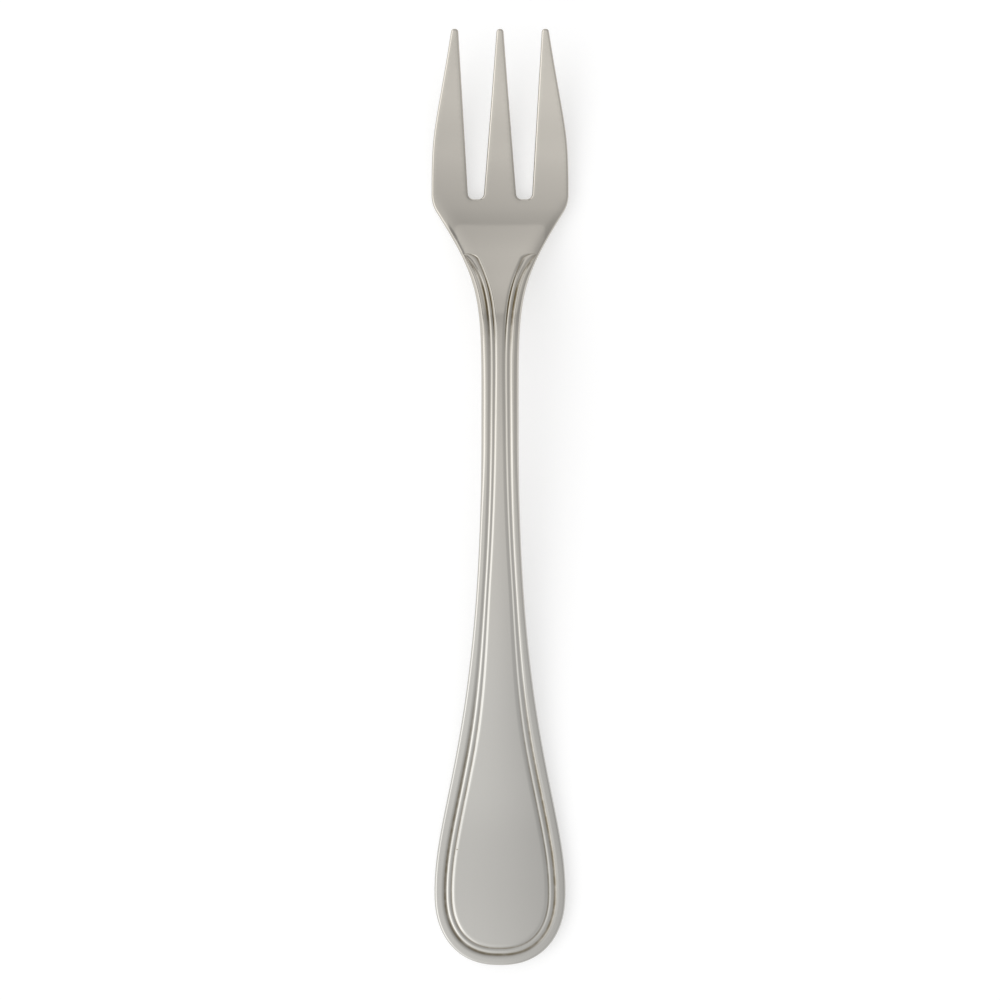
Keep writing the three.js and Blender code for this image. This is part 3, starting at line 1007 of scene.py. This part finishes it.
# Light from the handle's end of the studio to the tips', which leaves out the far left
LENGTHWAYS = (
    (-1, 0.8),
    (-0.8, 1.1),
    (-0.5, 1.2),
    (-0.27, 1.1),
    (-0.2, 1.12),
    (-0.12, 1.04),
    (0.04, 0.93),
    (0.2, 0.885),
    (0.35, 0.83),
    (0.48, 0.79),
    (0.58, 0.76),
    (0.61, 0.93),
    (0.67, 0.935),
    (0.74, 0.945),
    (0.8, 0.97),
    (0.84, 1.0),
    (0.87, 1.03),
    (0.95, 0.8),
    (1, 0.6),
)
LENGTHWAYS_REACH = ((-1, 0), (-0.5, 0), (-0.22, 1), (1, 1))

# Where the dark card hangs, across the fork and along it
CARD_ACROSS = ((-1, 0), (-0.48, 0), (-0.4, 1), (-0.3, 1), (-0.18, 0), (1, 0))
CARD_ALONG = ((-1, 0), (0.34, 0), (0.48, 1), (1, 1))

# How much the horizon's light counts, from below the table to overhead
HORIZON_REACH = ((-1, 1), (0.03, 1), (0.1, 0.85), (0.22, 0.25), (0.35, 0), (1, 0))

LAMP_PLACE = (-0.8, -0.3, 0.65)
LAMP_SPREAD = math.radians(40)


def light_studio(stage):
    """A soft studio that is bright on the left, even overhead and dim on the right."""
    world = bpy.data.worlds.new("studio")
    world.use_nodes = True
    tree = world.node_tree
    direction = tree.nodes.new("ShaderNodeSeparateXYZ")
    towards = tree.nodes.new("ShaderNodeTexCoord").outputs["Generated"]
    tree.links.new(towards, direction.inputs["Vector"])

    def level(axis, places):
        """Brightness by how far a direction points along an axis."""
        return follow(tree, direction.outputs[axis], places, "AUTO_CLAMPED", False)

    across = level("X", [(place, part * getattr(stage, light)) for place, light, part in SIDEWAYS])
    along = mix(tree, "FLOAT", level("X", LENGTHWAYS_REACH), 1.0, level("Y", LENGTHWAYS))
    hung = combine(tree, "MULTIPLY", level("X", CARD_ACROSS), level("Y", CARD_ALONG))
    card = mix(tree, "FLOAT", hung, 1.0, 1.0 - stage.card)
    shaded = combine(tree, "MULTIPLY", combine(tree, "MULTIPLY", across, along), card)
    light = mix(tree, "FLOAT", level("Z", HORIZON_REACH), shaded, stage.horizon)
    background = tree.nodes["Background"]
    background.inputs["Color"].default_value = (1, 1, 1, 1)
    tree.links.new(light, background.inputs["Strength"])
    bpy.context.scene.world = world

    lamp = bpy.data.lights.new("left_lamp", "SUN")
    lamp.energy = stage.lamp_power
    lamp.angle = LAMP_SPREAD
    left_lamp = bpy.data.objects.new("left_lamp", lamp)
    left_lamp.location = LAMP_PLACE
    left_lamp.rotation_euler = left_lamp.location.to_track_quat("Z", "Y").to_euler()
    bpy.context.scene.collection.objects.link(left_lamp)


def set_camera(stage):
    """A long lens straight above the fork, tines up."""
    lens = bpy.data.cameras.new("camera")
    lens.lens = stage.lens
    seen = (CAD_HIGH.y - CAD_LOW.y) / stage.margin
    camera = bpy.data.objects.new("camera", lens)
    middle = (CAD_LOW + CAD_HIGH) / 2
    height = seen / lens.sensor_width * lens.lens
    camera.location = (middle.x, middle.y, middle.z + height)
    bpy.context.scene.collection.objects.link(camera)
    bpy.context.scene.camera = camera
    bpy.context.scene.view_settings.view_transform = "Standard"


class FORK_OT_stamp(bpy.types.Operator):
    """Stamp the fork from its blank, strike its border and polish it"""

    bl_idname = "fork.stamp"
    bl_label = "Stamp Fork"

    def execute(self, context):
        scene = context.scene
        plan = Plan(scene.fork_plan, scene.fork_border)
        form = Form(plan, scene.fork_side)
        mesh = stamp_skin(plan, form, scene.fork_border)
        fork = bpy.data.objects.new("polished_fork", mesh)
        scene.collection.objects.link(fork)
        strike_border(fork, scene.fork_border, polished_steel(scene.fork_finish))
        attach(fork, "root")
        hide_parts(CAD_NODE)
        return {"FINISHED"}


class FORK_OT_stage(bpy.types.Operator):
    """Lay the table, light the studio and set the camera"""

    bl_idname = "fork.stage"
    bl_label = "Set Stage"

    def execute(self, context):
        stage = context.scene.fork_stage
        lay_table(stage)
        light_studio(stage)
        set_camera(stage)
        return {"FINISHED"}


class FORK_PT_maker(bpy.types.Panel):
    """The fork's operators and sizes"""

    bl_idname = "FORK_PT_maker"
    bl_label = "Cocktail Fork"
    bl_space_type = "VIEW_3D"
    bl_region_type = "UI"
    bl_category = "Fork"

    def draw(self, context):
        column = self.layout.column()
        column.operator(FORK_OT_stamp.bl_idname)
        column.operator(FORK_OT_stage.bl_idname)
        for name in GROUPS:
            group = getattr(context.scene, name)
            box = self.layout.box()
            for field in group.bl_rna.properties:
                if not field.is_readonly and field.identifier != "name":
                    box.prop(group, field.identifier)


GROUPS = {
    "fork_plan": ForkPlan,
    "fork_side": ForkSide,
    "fork_border": ThreadBorder,
    "fork_finish": SteelFinish,
    "fork_stage": StudioStage,
}
CLASSES = (*GROUPS.values(), FORK_OT_stamp, FORK_OT_stage, FORK_PT_maker)


def register():
    """Adds the fork's sizes, operators and panel to Blender."""
    for cls in CLASSES:
        bpy.utils.register_class(cls)
    for name, group in GROUPS.items():
        setattr(bpy.types.Scene, name, PointerProperty(type=group))


def unregister():
    """Takes them out again."""
    for name in GROUPS:
        delattr(bpy.types.Scene, name)
    for cls in reversed(CLASSES):
        bpy.utils.unregister_class(cls)


def main():
    """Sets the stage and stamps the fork."""
    register()
    bpy.ops.fork.stage()
    bpy.ops.fork.stamp()


if __name__ == "__main__":
    main()
